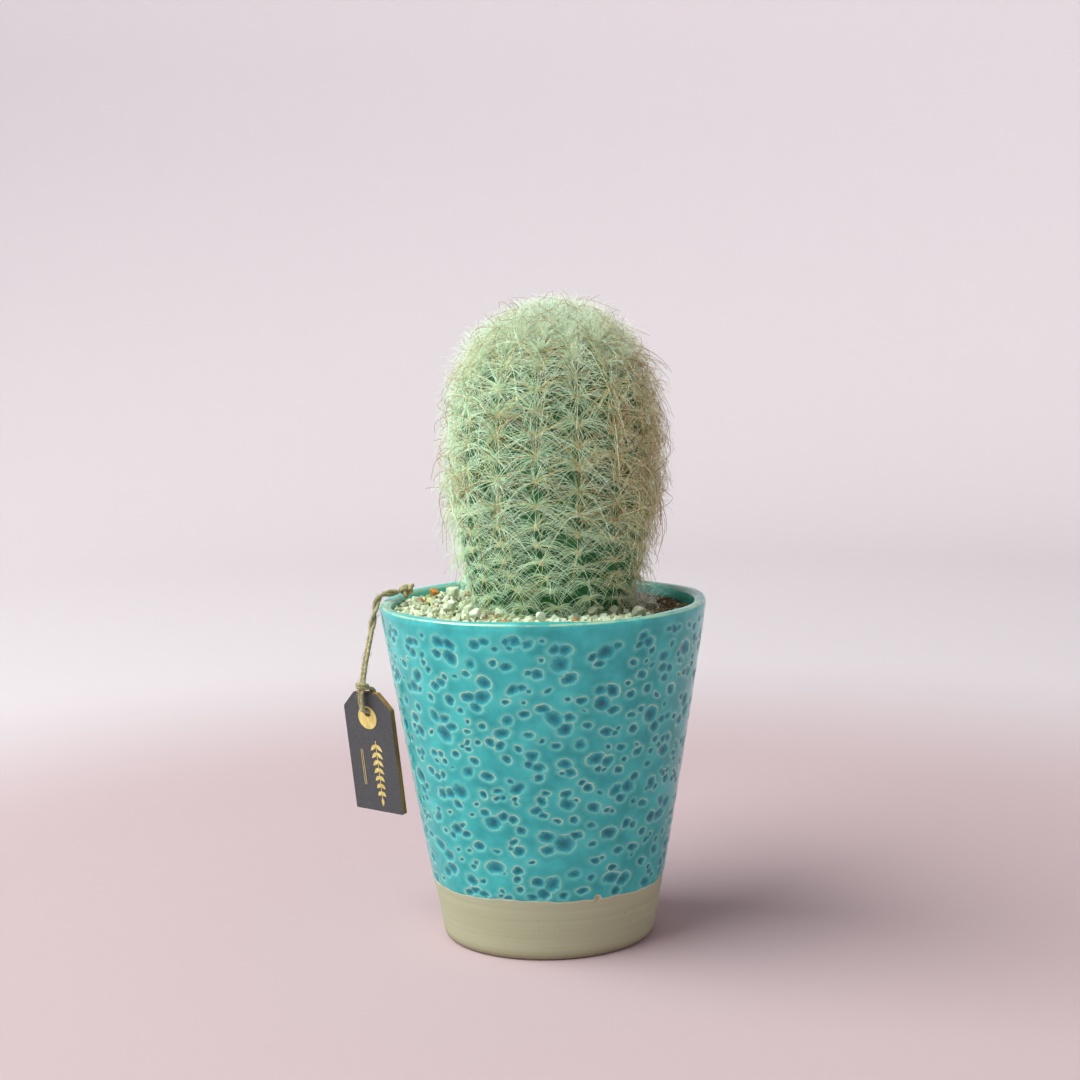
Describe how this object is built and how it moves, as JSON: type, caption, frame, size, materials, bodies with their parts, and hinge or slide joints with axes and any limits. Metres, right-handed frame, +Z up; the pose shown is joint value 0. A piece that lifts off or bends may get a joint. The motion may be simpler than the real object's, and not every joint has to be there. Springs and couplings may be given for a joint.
{
  "type": "potted cactus",
  "caption": "Woolly columnar cactus in a tapered turquoise glazed pot, dressed with quartz gravel, with a blank hang tag on jute twine over the rim.",
  "frame": {"origin": "centre of the pot's foot, on the surface that it stands on", "axes": "+Z up along the pot's axis, -Y toward the front, -X toward the side where the tag hangs"},
  "size_m": [0.1353, 0.12, 0.2268],
  "materials": {
    "glazed_stoneware": "gloss",
    "potting_soil": "matte",
    "quartz_gravel": "matte",
    "cream_quartz": "satin",
    "amber_quartz": "satin",
    "cactus_skin": "matte",
    "green_coated_wire": "satin",
    "jute_twine": "matte",
    "tag_board": "matte"
  },
  "bodies": {
    "root": {"pot": "glazed_stoneware", "potting_soil": "potting_soil", "gravel_bed": "quartz_gravel", "cactus_stem": "cactus_skin", "wire_pin": "green_coated_wire", "twine": "jute_twine", "twine_knot": "jute_twine", "twine_hitch": "jute_twine", "tag": "tag_board", "gravel_stone_01": "cream_quartz", "gravel_stone_02": "cream_quartz", "gravel_stone_03": "cream_quartz", "gravel_stone_04": "amber_quartz", "gravel_stone_05": "cream_quartz", "gravel_stone_06": "cream_quartz", "gravel_stone_07": "cream_quartz", "gravel_stone_08": "amber_quartz", "gravel_stone_09": "cream_quartz", "gravel_stone_10": "cream_quartz", "gravel_stone_11": "cream_quartz", "gravel_stone_12": "amber_quartz", "gravel_stone_13": "cream_quartz", "gravel_stone_14": "cream_quartz"}
  },
  "joints": []
}
